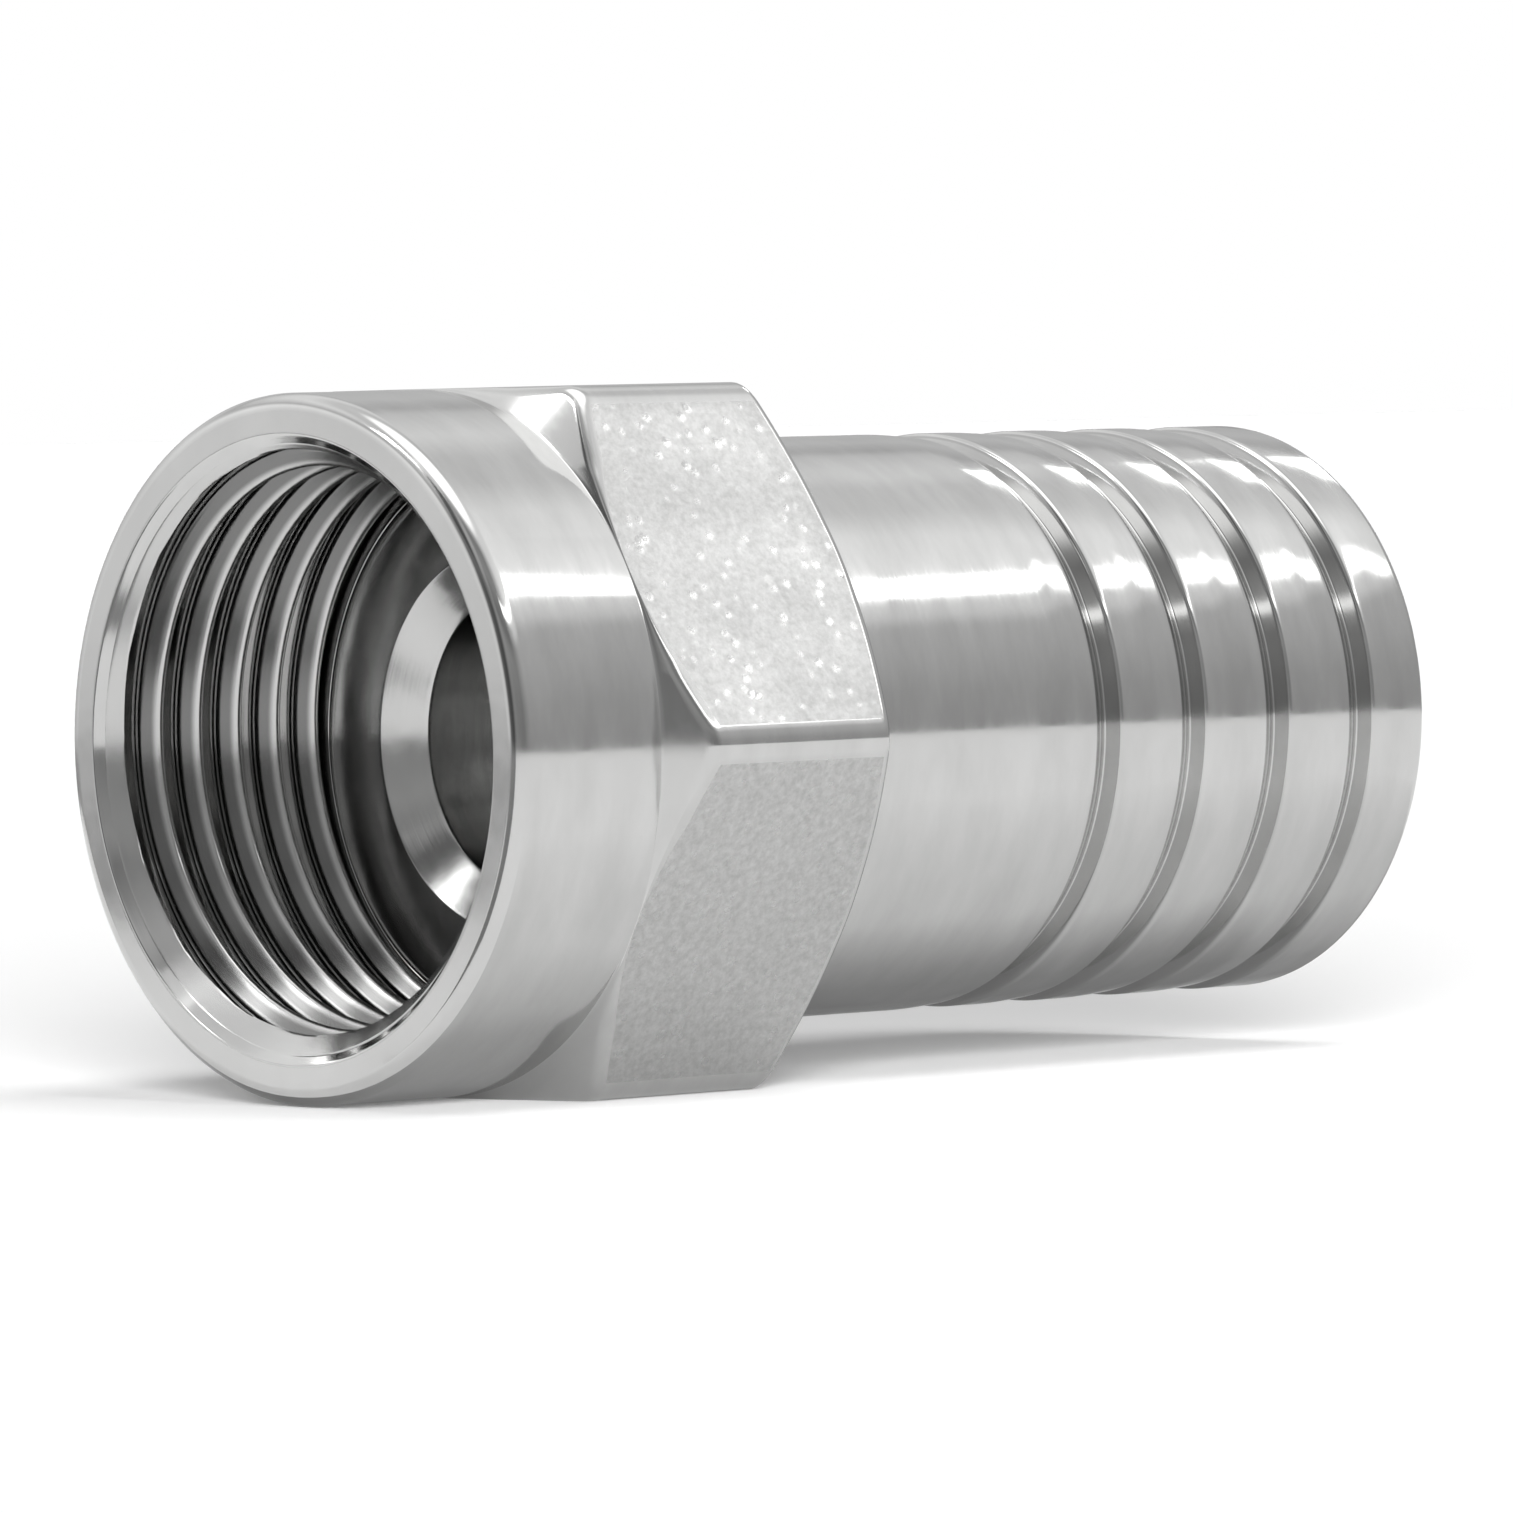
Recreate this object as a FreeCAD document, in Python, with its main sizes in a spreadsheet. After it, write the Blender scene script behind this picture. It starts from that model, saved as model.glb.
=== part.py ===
"""A crimp coaxial connector with a free-turning coupling nut, in millimetres.

The connector's axis is X. The mating face of the post is at the origin and looks towards -X, where the nut's
mouth opens. The cable enters at +X. One flat of the nut faces down, towards -Z.
Each piece is turned from bar, so each is drawn as a half section from its own front face, with x along the axis
and y as the radius, and is revolved about the axis.
"""
import FreeCAD
import Part
import Sketcher
import os

doc = FreeCAD.newDocument("coaxial_connector")

# The driving sizes, in millimetres, degrees and counts.
SIZES = (
    # coupling nut, measured from the mating face of the post
    ("mouth_reach", 4.33, "mating face to the mouth of the nut"),
    ("shoulder_reach", 1.48, "mating face to the end of the turned collar"),
    ("nut_tail", 3.1, "mating face to the rear face of the nut"),
    ("hex_width", 11.11, "across the flats of the hexagon"),
    ("hex_rounding", 0.6, "radius along the hexagon's corners"),
    ("collar_diameter", 11.08, "turned front of the nut"),
    ("collar_edge", 0.18, "chamfer round the mouth, outside"),
    ("mouth_diameter", 9.8, "countersink at the mouth of the nut"),
    ("thread_diameter", 9.525, "bore of the coupling thread, at its major diameter"),
    ("thread_relief", 0.08, "thread bore past the mating face"),
    ("corner_angle", 30.0, "chamfers on the hexagon's corners, from the plane of the face"),
    ("rear_face_diameter", 10.7, "flat ring at the rear of the nut"),
    # post
    ("flange_diameter", 8.5, "flange that the nut pulls on"),
    ("flange_thickness", 1.4, "flange, along the axis"),
    ("flange_edge", 0.12, "chamfer on the flange's rim"),
    ("neck_diameter", 7.0, "journal that the nut turns on"),
    ("seat_diameter", 6.4, "seat that the sleeve is pressed on"),
    ("tail_diameter", 5.5, "thin tube that goes under the braid"),
    ("tail_end", 14.1, "mating face to the end of the tube"),
    ("bore_diameter", 4.72, "bore for the cable's dielectric"),
    ("funnel_diameter", 6.0, "countersink in the mating face"),
    ("funnel_depth", 0.46, "countersink, along the axis"),
    ("tail_wall", 0.12, "wall left at the tip of the tube"),
    ("tail_taper", 0.8, "tapered tip of the tube, along the axis"),
    ("barb_height", 0.2, "barb above the tube"),
    ("barb_length", 0.7, "slope of one barb"),
    ("barb_pitch", 1.1, "from barb to barb"),
    ("barb_count", 3, "barbs round the tube"),
    ("barb_place", 1.3, "end of the tube to the rearmost barb's foot"),
    # crimp sleeve
    ("sleeve_diameter", 9.34, "outside of the sleeve"),
    ("sleeve_bore", 7.9, "inside of the sleeve"),
    ("sleeve_end", 15.88, "mating face to the cable end of the sleeve"),
    ("web_thickness", 1.6, "front wall of the sleeve"),
    ("sleeve_nose", 0.3, "chamfer at the front of the sleeve"),
    ("sleeve_rim", 0.17, "chamfer at the cable end, outside"),
    ("sleeve_lead", 0.3, "chamfer at the cable end, inside"),
    ("ring_place", 8.45, "mating face to the first crimp ring groove"),
    ("ring_pitch", 1.88, "from groove to groove"),
    ("ring_count", 4, "grooves round the sleeve"),
    ("ring_depth", 0.3, "groove, below the sleeve's surface"),
    ("ring_slope", 0.42, "sloping front side of a groove, along the axis"),
    ("ring_floor", 0.06, "flat floor of a groove"),
    ("ring_wall", 0.1, "steep rear side of a groove, along the axis"),
    # fits
    ("flange_gap", 0.15, "nut's plain bore round the flange, on the radius"),
    ("running_gap", 0.08, "nut's lip round the neck, on the radius"),
    ("end_gap", 0.06, "nut's end float, at each side of the lip"),
)

sheet = doc.addObject("Spreadsheet::Sheet", "Sizes")
for row, (name, value, meaning) in enumerate(SIZES, start=1):
    sheet.set(f"A{row}", name)
    sheet.set(f"B{row}", str(value))
    sheet.set(f"C{row}", meaning)
    sheet.setAlias(f"B{row}", name)
doc.recompute()

FULL_TURN = 360
CLEAR = "2 mm"  # how far a cutting outline reaches past the stock


def size(name):
    """The expression for a driving size, as a length."""
    return f"Sizes.{name} * 1 mm"


def radius(name):
    """The expression for half of a driving diameter."""
    return f"Sizes.{name} / 2 * 1 mm"


def origin_plane(body, role):
    """One of the body's own origin planes."""
    return [plane for plane in body.Origin.OriginFeatures if plane.Role == role][0]


def new_body(label):
    """A sub-part, whose label names its file."""
    body = doc.addObject("PartDesign::Body", label)
    body.Label = label
    return body


def new_sketch(body, name, role):
    """A sketch on one of the body's origin planes."""
    sketch = body.newObject("Sketcher::SketchObject", name)
    sketch.AttachmentSupport = (origin_plane(body, role), [""])
    sketch.MapMode = "FlatFace"
    return sketch


def value_of(expression):
    """What an expression comes to at the present sizes, in millimetres."""
    result = sheet.evalExpression(expression)
    return float(getattr(result, "Value", result))


def draw_outline(sketch, corners):
    """A closed outline of straight edges, each corner held by its x and its radius."""
    start = sketch.GeometryCount
    points = [FreeCAD.Vector(value_of(x), value_of(r), 0) for x, r in corners]
    ends = points[1:] + points[:1]
    for here, there in zip(points, ends):
        sketch.addGeometry(Part.LineSegment(here, there), False)
    count = len(points)
    for i in range(count):
        last = start + (i - 1) % count
        sketch.addConstraint(Sketcher.Constraint("Coincident", last, 2, start + i, 1))
    for i, (x, r) in enumerate(corners):
        for kind, place, expression in (("DistanceX", points[i].x, x), ("DistanceY", points[i].y, r)):
            if expression == "0 mm":
                line = -2 if kind == "DistanceX" else -1
                sketch.addConstraint(Sketcher.Constraint("PointOnObject", start + i, 1, line))
                continue
            held = sketch.addConstraint(Sketcher.Constraint(kind, -1, 1, start + i, 1, place))
            sketch.setExpression(f"Constraints[{held}]", expression)


def turned(body, name, corners, kind="PartDesign::Revolution"):
    """A full turn of a half section about the axis: a Revolution adds and a Groove cuts."""
    sketch = new_sketch(body, f"{name}_section", "XZ_Plane")
    draw_outline(sketch, corners)
    feature = body.newObject(kind, name)
    feature.Profile = sketch
    feature.ReferenceAxis = (sketch, ["H_Axis"])
    feature.Angle = FULL_TURN
    doc.recompute()
    return feature


def repeated(body, name, feature, step, count):
    """Copies of a feature along the axis, a step apart."""
    pattern = body.newObject("PartDesign::LinearPattern", name)
    pattern.Originals = [feature]
    pattern.Direction = (feature.Profile[0], ["H_Axis"])
    pattern.Mode = "Spacing"
    pattern.setExpression("Offset", step)
    pattern.setExpression("Occurrences", count)
    body.Tip = pattern
    doc.recompute()
    return pattern


# Coupling nut: hexagon bar, its front turned to a collar, bored and tapped, with a lip behind the post's flange.
def hexagon_bar(body):
    """The hexagon bar that the nut is cut from, with a flat facing down and its corners rounded."""
    sketch = new_sketch(body, "hexagon", "YZ_Plane")
    across = value_of(size("hex_width"))
    side = across * 3 ** -0.5
    corners = []
    for i in range(6):
        turn = FreeCAD.Rotation(FreeCAD.Vector(0, 0, 1), 60 * i)
        corners.append(turn.multVec(FreeCAD.Vector(side, 0, 0)))
    for i in range(6):
        sketch.addGeometry(Part.LineSegment(corners[i], corners[(i + 1) % 6]), False)
    circle = Part.Circle(FreeCAD.Vector(0, 0, 0), FreeCAD.Vector(0, 0, 1), side)
    guide = sketch.addGeometry(circle, True)
    sketch.addConstraint(Sketcher.Constraint("Coincident", guide, 3, -1, 1))
    for i in range(6):
        sketch.addConstraint(Sketcher.Constraint("Coincident", i, 2, (i + 1) % 6, 1))
        sketch.addConstraint(Sketcher.Constraint("PointOnObject", i, 1, guide))
    for i in range(1, 6):
        sketch.addConstraint(Sketcher.Constraint("Equal", 0, i))
    sketch.addConstraint(Sketcher.Constraint("PointOnObject", 0, 1, -1))
    held = sketch.addConstraint(Sketcher.Constraint("Radius", guide, side))
    sketch.setExpression(f"Constraints[{held}]", f"{size('hex_width')} / sqrt(3)")
    bar = body.newObject("PartDesign::Pad", "bar")
    bar.Profile = sketch
    bar.setExpression("Length", NUT_LENGTH)
    doc.recompute()
    long_edges = []
    for number, edge in enumerate(bar.Shape.Edges, start=1):
        if abs(edge.tangentAt(edge.FirstParameter).x) > 0.99:
            long_edges.append(f"Edge{number}")
    rounded = body.newObject("PartDesign::Fillet", "rounded_bar")
    rounded.Base = (bar, long_edges)
    rounded.setExpression("Radius", size("hex_rounding"))
    doc.recompute()
    return rounded


NUT_LENGTH = f"{size('mouth_reach')} + {size('nut_tail')}"
CORNER_SLOPE = "tan(Sizes.corner_angle * 1 deg)"
PAST_CORNER = f"{size('hex_width')} / sqrt(3) + {CLEAR}"
LIP_FRONT = f"{size('mouth_reach')} + {size('flange_thickness')} + {size('end_gap')}"

nut = new_body("coupling_nut")
nut.setExpression(".Placement.Base.x", f"-{size('mouth_reach')}")
hexagon_bar(nut)

shoulder = f"{size('mouth_reach')} - {size('shoulder_reach')}"
collar_edge_radius = f"{radius('collar_diameter')} - {size('collar_edge')}"
turned(nut, "collar", (
    ("0 mm", collar_edge_radius),
    (size("collar_edge"), radius("collar_diameter")),
    (shoulder, radius("collar_diameter")),
    (f"{shoulder} + ({PAST_CORNER} - {radius('collar_diameter')}) * {CORNER_SLOPE}", PAST_CORNER),
    ("0 mm", PAST_CORNER),
), "PartDesign::Groove")

turned(nut, "rear_corners", (
    (NUT_LENGTH, radius("rear_face_diameter")),
    (NUT_LENGTH, PAST_CORNER),
    (f"{NUT_LENGTH} - ({PAST_CORNER} - {radius('rear_face_diameter')}) * {CORNER_SLOPE}", PAST_CORNER),
), "PartDesign::Groove")

thread_end = f"{size('mouth_reach')} + {size('thread_relief')}"
flange_bore = f"{radius('flange_diameter')} + {size('flange_gap')}"
lip_bore = f"{radius('neck_diameter')} + {size('running_gap')}"
nut_bore = turned(nut, "bore", (
    ("0 mm", "0 mm"),
    ("0 mm", radius("mouth_diameter")),
    (f"{radius('mouth_diameter')} - {radius('thread_diameter')}", radius("thread_diameter")),
    (thread_end, radius("thread_diameter")),
    (thread_end, flange_bore),
    (LIP_FRONT, flange_bore),
    (LIP_FRONT, lip_bore),
    (NUT_LENGTH, lip_bore),
    (NUT_LENGTH, "0 mm"),
), "PartDesign::Groove")
nut.Tip = nut_bore

# Post: flange, journal for the nut, press seat for the sleeve and a thin barbed tube.
SLEEVE_FRONT = f"{size('nut_tail')} + {size('end_gap')}"
WEB_REAR = f"{SLEEVE_FRONT} + {size('web_thickness')}"

post = new_body("post")
flange_edge_radius = f"{radius('flange_diameter')} - {size('flange_edge')}"
taper_start = f"{size('tail_end')} - {size('tail_taper')}"
tip_radius = f"{radius('bore_diameter')} + {size('tail_wall')}"
turned(post, "blank", (
    ("0 mm", radius("funnel_diameter")),
    ("0 mm", flange_edge_radius),
    (size("flange_edge"), radius("flange_diameter")),
    (f"{size('flange_thickness')} - {size('flange_edge')}", radius("flange_diameter")),
    (size("flange_thickness"), flange_edge_radius),
    (size("flange_thickness"), radius("neck_diameter")),
    (SLEEVE_FRONT, radius("neck_diameter")),
    (SLEEVE_FRONT, radius("seat_diameter")),
    (WEB_REAR, radius("seat_diameter")),
    (WEB_REAR, radius("tail_diameter")),
    (taper_start, radius("tail_diameter")),
    (size("tail_end"), tip_radius),
    (size("tail_end"), radius("bore_diameter")),
    (size("funnel_depth"), radius("bore_diameter")),
))

BARB_FOOT = f"{size('tail_end')} - {size('barb_place')}"
barb_start = f"{BARB_FOOT} - (Sizes.barb_count - 1) * {size('barb_pitch')}"
sunk = f"{radius('tail_diameter')} - {size('tail_wall')}"
barb = turned(post, "barb", (
    (barb_start, sunk),
    (barb_start, f"{radius('tail_diameter')} + {size('barb_height')}"),
    (f"{barb_start} + {size('barb_length')}", radius("tail_diameter")),
    (f"{barb_start} + {size('barb_length')}", sunk),
))
repeated(post, "barbs", barb, size("barb_pitch"), "Sizes.barb_count")

# Crimp sleeve: a tube with a front web pressed on the post, and ring grooves that the crimping tool closes.
sleeve = new_body("crimp_sleeve")
sleeve.setExpression(".Placement.Base.x", SLEEVE_FRONT)

SLEEVE_LENGTH = f"{size('sleeve_end')} - ({SLEEVE_FRONT})"
sleeve_face_radius = f"{radius('sleeve_diameter')} - {size('sleeve_nose')}"
sleeve_rim_radius = f"{radius('sleeve_diameter')} - {size('sleeve_rim')}"
sleeve_lead_radius = f"{radius('sleeve_bore')} + {size('sleeve_lead')}"
turned(sleeve, "tube", (
    ("0 mm", radius("seat_diameter")),
    ("0 mm", sleeve_face_radius),
    (size("sleeve_nose"), radius("sleeve_diameter")),
    (f"{SLEEVE_LENGTH} - {size('sleeve_rim')}", radius("sleeve_diameter")),
    (SLEEVE_LENGTH, sleeve_rim_radius),
    (SLEEVE_LENGTH, sleeve_lead_radius),
    (f"{SLEEVE_LENGTH} - {size('sleeve_lead')}", radius("sleeve_bore")),
    (size("web_thickness"), radius("sleeve_bore")),
    (size("web_thickness"), radius("seat_diameter")),
))

first_ring = f"{size('ring_place')} - ({SLEEVE_FRONT})"
ring_floor_radius = f"{radius('sleeve_diameter')} - {size('ring_depth')}"
floor_start = f"{first_ring} + {size('ring_slope')}"
floor_end = f"{floor_start} + {size('ring_floor')}"
ring_end = f"{floor_end} + {size('ring_wall')}"
above_sleeve = f"{radius('sleeve_diameter')} + {CLEAR}"
ring = turned(sleeve, "ring_groove", (
    (first_ring, radius("sleeve_diameter")),
    (floor_start, ring_floor_radius),
    (floor_end, ring_floor_radius),
    (ring_end, radius("sleeve_diameter")),
    (ring_end, above_sleeve),
    (first_ring, above_sleeve),
), "PartDesign::Groove")
repeated(sleeve, "ring_grooves", ring, size("ring_pitch"), "Sizes.ring_count")

doc.recompute()
failed = [item.Name for item in doc.Objects if {"Invalid", "Error"} & set(item.State)]
if failed:
    raise RuntimeError(f"these features failed: {failed}")

PIECES = (nut, post, sleeve)
for piece in PIECES:
    if piece.Shape.isNull() or not piece.Shape.isValid() or len(piece.Shape.Solids) != 1:
        raise RuntimeError(f"{piece.Label} is not one valid solid")

os.makedirs("parts", exist_ok=True)
for piece in PIECES:
    piece.Shape.exportStep(os.path.join("parts", f"{piece.Label}.step"))
    box = piece.Shape.BoundBox
    print(f"{piece.Label}: {piece.Shape.Volume:.2f} mm3, x {box.XMin:.2f} to {box.XMax:.2f}")
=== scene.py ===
"""The looks of a crimp coaxial connector: nickel-plated nut, post and ringed sleeve on a pale studio floor.

Everything is in metres in the frame of the solids: the connector's axis is X, the nut's mouth opens
towards -X, the cable enters at +X, and one flat of the nut faces the floor, towards -Z. Sizes are written
in millimetres, unless their line says otherwise, and MM turns them to metres.
"""

import math

import bmesh
import bpy
from mathutils import Matrix, Vector


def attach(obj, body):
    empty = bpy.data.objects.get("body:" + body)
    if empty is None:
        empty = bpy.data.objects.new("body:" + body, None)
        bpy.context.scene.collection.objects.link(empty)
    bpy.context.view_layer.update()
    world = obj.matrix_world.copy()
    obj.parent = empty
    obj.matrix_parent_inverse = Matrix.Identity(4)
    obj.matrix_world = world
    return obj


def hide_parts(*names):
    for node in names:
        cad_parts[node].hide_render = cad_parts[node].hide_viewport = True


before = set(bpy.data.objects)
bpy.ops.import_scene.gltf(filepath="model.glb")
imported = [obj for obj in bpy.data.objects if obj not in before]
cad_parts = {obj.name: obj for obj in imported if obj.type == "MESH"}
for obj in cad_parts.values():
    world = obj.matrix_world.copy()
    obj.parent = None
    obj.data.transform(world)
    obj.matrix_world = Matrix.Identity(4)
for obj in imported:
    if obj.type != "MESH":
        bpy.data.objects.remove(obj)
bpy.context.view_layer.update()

MM = 0.001

# The camera that the photograph was taken with, as fitted to the connector's circles and edges.
CAMERA_TURN = math.radians(48.51)   # between the view and the axis, from the mouth side
CAMERA_RISE = math.radians(1.753)
CAMERA_ROLL = math.radians(-1.309)
CAMERA_DISTANCE = 180.0
CAMERA_AIM = (5.0, 0.0, 0.0)
AIM_SHIFT = (0.264, -0.441)         # right and up in the picture
PIXELS_PER_MM = 62.329
PICTURE = 1513                      # pixels
SENSOR = 36.0
CLIP_START = 5.0
CLIP_END = 50000.0

# Roundings of the edges that have none of their own.
SHARP = 0.0
THIN = 0.02
CRISP = 0.03
SOFT = 0.05

# Nut, measured along the axis from the mating face.
MOUTH = -4.33
SHOULDER = -1.48
NUT_REAR = 3.1
HEX_FLAT = 11.11 / 2
COLLAR_RADIUS = 11.08 / 2
MOUTH_RADIUS = 9.8 / 2
THREAD_ROOT = 9.525 / 2
THREAD_END = 0.08
FLANGE_BORE = 4.4
LIP_FRONT = 1.46
LIP_BORE = 3.58
REAR_FACE_RADIUS = 10.7 / 2
CHAMFER_SLOPE = math.tan(math.radians(30))
CORNER_ROUNDING = 0.6
COLLAR_ROUNDING = 0.26
FRONT_CHAMFER_ROUNDING = 0.28
REAR_CHAMFER_ROUNDING = 0.22
REAR_FACE_ROUNDING = 0.06

# The hexagon's slices: half a side, the angle from its middle at which a corner's rounding starts, and how
# many slices lie between two roundings and on a rounding.
HALF_SIDE = math.radians(30)
ROUNDING_START = math.atan((HEX_FLAT - CORNER_ROUNDING) * math.tan(HALF_SIDE) / HEX_FLAT)
FLAT_SLICES = 36
CORNER_SLICES = 6

# A face is part of a flat when it lies less than FLAT_SLACK below it, the part of its normal along the axis
# is less than FLAT_LEAN, and it is turned from it by less than FLAT_TURN degrees.
FLAT_SLACK = 0.001
FLAT_LEAN = 0.05
FLAT_TURN = 1.5

# Coupling thread, 3/8-32.
PITCH = 0.79375
THREAD_CREST = 4.4
COUNTERSINK_END = MOUTH + MOUTH_RADIUS - THREAD_ROOT
MOUTH_SETBACK = 0.06                # the thread starts that far behind the mouth
THREAD_OVERLAP = 0.02               # and ends that far past its bore's end
CONE_DEPTH = 0.04                   # its points lie that deep behind the countersink
CONE_EASE = 0.05                    # and come up to the bore's wall over that length
HELIX_POINTS = 96                   # a turn
SECTION_POINTS = 44
CREST_POINTS = 6
SECTION_TURN = math.radians(-90)

# Post.
FLANGE_RADIUS = 8.66 / 2
FLANGE_THICKNESS = 1.4
FLANGE_ROUNDING = 0.12
NECK_RADIUS = 7.0 / 2
SEAT_RADIUS = 6.4 / 2
TAIL_RADIUS = 5.5 / 2
TAIL_END = 14.1
BORE_RADIUS = 4.72 / 2
FUNNEL_RADIUS = 3.0
FUNNEL_DEPTH = 0.46
TIP_WALL = 0.12
TIP_TAPER = 0.8
BARB_HEIGHT = 0.2
BARB_LENGTH = 0.7
BARB_PITCH = 1.1
BARB_COUNT = 3
BARB_PLACE = 1.3

# Sleeve.
SLEEVE_FRONT = 3.16
SLEEVE_END = 15.88
SLEEVE_RADIUS = 9.34 / 2
SLEEVE_BORE = 3.95
SLEEVE_CHAMFER = 0.3
BORE_CHAMFER = 0.3
WEB_THICKNESS = 1.6
WEB_REAR = SLEEVE_FRONT + WEB_THICKNESS
SLEEVE_FRONT_ROUNDING = 0.1
SLEEVE_CHAMFER_ROUNDING = 0.25
SLEEVE_END_ROUNDING = 0.24
RING_PLACE = 8.45
RING_PITCH = 1.88
RING_COUNT = 4
RING_DEPTH = 0.3
RING_SLOPE = 0.42
RING_FLOOR = 0.06
RING_WALL = 0.1
RING_FLOOR_ROUNDING = 0.04
RING_WALL_ROUNDING = 0.08

# Each land falls over LAND_FALL and LAND_EDGE before its groove, and reaches its slope over LAND_EASE.
LAND_FALL = 0.75
LAND_EDGE = 0.06
LAND_EASE = 0.4
LAND_SLOPE = math.tan(math.radians(4))
LAND_STEPS = 12
LAND_ROUNDING = 0.2

FLOOR_HEIGHT = -HEX_FLAT

# Meshes: points nearer than WELD are joined, edges shorter than SLIVER go, and edges that turn by more than
# TURNED_SHARP or, in the thread, THREAD_SHARP degrees stay sharp.
WELD = 0.0002
SLIVER = 0.00001
TURNED_SHARP = 40
THREAD_SHARP = 50


# Objects.
def placed(name, data):
    """An object with that data, in the scene."""
    made = bpy.data.objects.new(name, data)
    bpy.context.scene.collection.objects.link(made)
    return made


def smooth_piece(name, mesh, data, sharp):
    """A piece with that mesh, shaded smooth but for the edges that turn by more than sharp degrees."""
    for face in mesh.faces:
        face.smooth = True
    mesh.to_mesh(data)
    mesh.free()
    data.set_sharp_from_angle(angle=math.radians(sharp))
    return placed(name, data)


# Turned outlines: corners of a half section, each (x, radius, rounding), whose roundings catch the light.
# A rounding takes at most ROUNDING_SHARE of a side, and a point up to ROUNDING_EASE past it keeps flats flat.
ROUNDING_STEPS = 5
ROUNDING_SHARE = 0.45
ROUNDING_EASE = 0.05


def rounded_outline(corners):
    """The outline's points, with every corner rounded and a point just past each rounding."""
    points = []
    for i, (x, radius, rounding) in enumerate(corners):
        here = Vector((x, radius))
        back = Vector(corners[i - 1][:2]) - here
        ahead = Vector(corners[(i + 1) % len(corners)][:2]) - here
        if rounding == SHARP:
            points.append(tuple(here))
            continue
        turn = math.pi - back.angle(ahead)
        reach = rounding * math.tan(turn / 2)
        limit = ROUNDING_SHARE * min(back.length, ahead.length)
        if reach > limit:
            rounding *= limit / reach
            reach = limit
        back.normalize()
        ahead.normalize()
        start = here + back * reach
        end = here + ahead * reach
        centre = here + (back + ahead).normalized() * (rounding / math.cos(turn / 2))
        room = min(ROUNDING_EASE, (limit - reach) / 2)
        points.append(tuple(start + back * room))
        first = start - centre
        sweep = first.angle_signed(end - centre)
        for step in range(ROUNDING_STEPS + 1):
            part = first.copy()
            part.rotate(Matrix.Rotation(-sweep * step / ROUNDING_STEPS, 2))
            points.append(tuple(centre + part))
        points.append(tuple(end + ahead * room))
    return points


def ring_mesh(name, slices, finishes, finish_of=None):
    """A closed ring of outline slices, each (angle, points). finish_of gives the finish of a face."""
    mesh = bmesh.new()
    rows = []
    for angle, outline in slices:
        cosine = math.cos(angle)
        sine = math.sin(angle)
        rows.append([mesh.verts.new((x * MM, r * cosine * MM, r * sine * MM)) for x, r in outline])
    for row, following in zip(rows, rows[1:] + rows[:1]):
        for j in range(len(row)):
            k = (j + 1) % len(row)
            mesh.faces.new((row[j], row[k], following[k], following[j]))
    bmesh.ops.remove_doubles(mesh, verts=mesh.verts, dist=WELD * MM)
    bmesh.ops.dissolve_degenerate(mesh, edges=mesh.edges, dist=SLIVER * MM)
    bmesh.ops.recalc_face_normals(mesh, faces=mesh.faces)
    if finish_of is not None:
        for face in mesh.faces:
            face.material_index = finish_of(face.calc_center_median() / MM, face.normal)
    data = bpy.data.meshes.new(name)
    for finish in finishes:
        data.materials.append(finish)
    return smooth_piece(name, mesh, data, TURNED_SHARP)


def turned_piece(name, corners, finish, steps):
    """A piece turned from one outline, in that many steps."""
    outline = rounded_outline(corners)
    slices = [(2 * math.pi * i / steps, outline) for i in range(steps)]
    return ring_mesh(name, slices, [finish])


# Node helpers.
def new_material(name):
    """A material, its tree emptied but for the output, and that output's surface."""
    material = bpy.data.materials.new(name)
    material.use_nodes = True
    tree = material.node_tree
    for node in list(tree.nodes):
        if node.type != "OUTPUT_MATERIAL":
            tree.nodes.remove(node)
    return material, tree, tree.nodes["Material Output"].inputs["Surface"]


def place_on_object(tree):
    """The object's own coordinates, in metres."""
    return tree.nodes.new("ShaderNodeTexCoord").outputs["Object"]


def parts_of(tree, vector):
    """A vector's X, Y and Z."""
    split = tree.nodes.new("ShaderNodeSeparateXYZ")
    tree.links.new(vector, split.inputs["Vector"])
    return split.outputs


def feed(tree, value, socket):
    """Gives a socket its value, which is a number or another socket."""
    if isinstance(value, (int, float)):
        socket.default_value = value
    else:
        tree.links.new(value, socket)


def worked(tree, operation, first, second=0.0):
    """The result of a Math node on sockets or numbers."""
    node = tree.nodes.new("ShaderNodeMath")
    node.operation = operation
    feed(tree, first, node.inputs[0])
    feed(tree, second, node.inputs[1])
    return node.outputs[0]


def mapped(tree, value, source, target=(0.0, 1.0), interpolation="LINEAR"):
    """A value taken from its source range to the target range, and held at its ends."""
    node = tree.nodes.new("ShaderNodeMapRange")
    node.interpolation_type = interpolation
    for label, number in zip(("From Min", "From Max", "To Min", "To Max"), (*source, *target)):
        node.inputs[label].default_value = number
    tree.links.new(value, node.inputs["Value"])
    return node.outputs["Result"]


def off_axis(tree, y, z):
    """The distance from the connector's axis."""
    squares = worked(tree, "ADD", worked(tree, "POWER", y, 2.0), worked(tree, "POWER", z, 2.0))
    return worked(tree, "SQRT", squares)


def noise(tree, place, stretch, detail=2.0, roughness=0.5):
    """A noise with that many features per millimetre along each axis."""
    mapping = tree.nodes.new("ShaderNodeMapping")
    mapping.inputs["Scale"].default_value = [features / MM for features in stretch]
    texture = tree.nodes.new("ShaderNodeTexNoise")
    texture.inputs["Scale"].default_value = 1.0
    texture.inputs["Detail"].default_value = detail
    texture.inputs["Roughness"].default_value = roughness
    tree.links.new(place, mapping.inputs["Vector"])
    tree.links.new(mapping.outputs["Vector"], texture.inputs["Vector"])
    return texture.outputs["Fac"]


# What a noise keeps to for the most part.
NOISE_RANGE = (0.3, 0.7)


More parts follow.
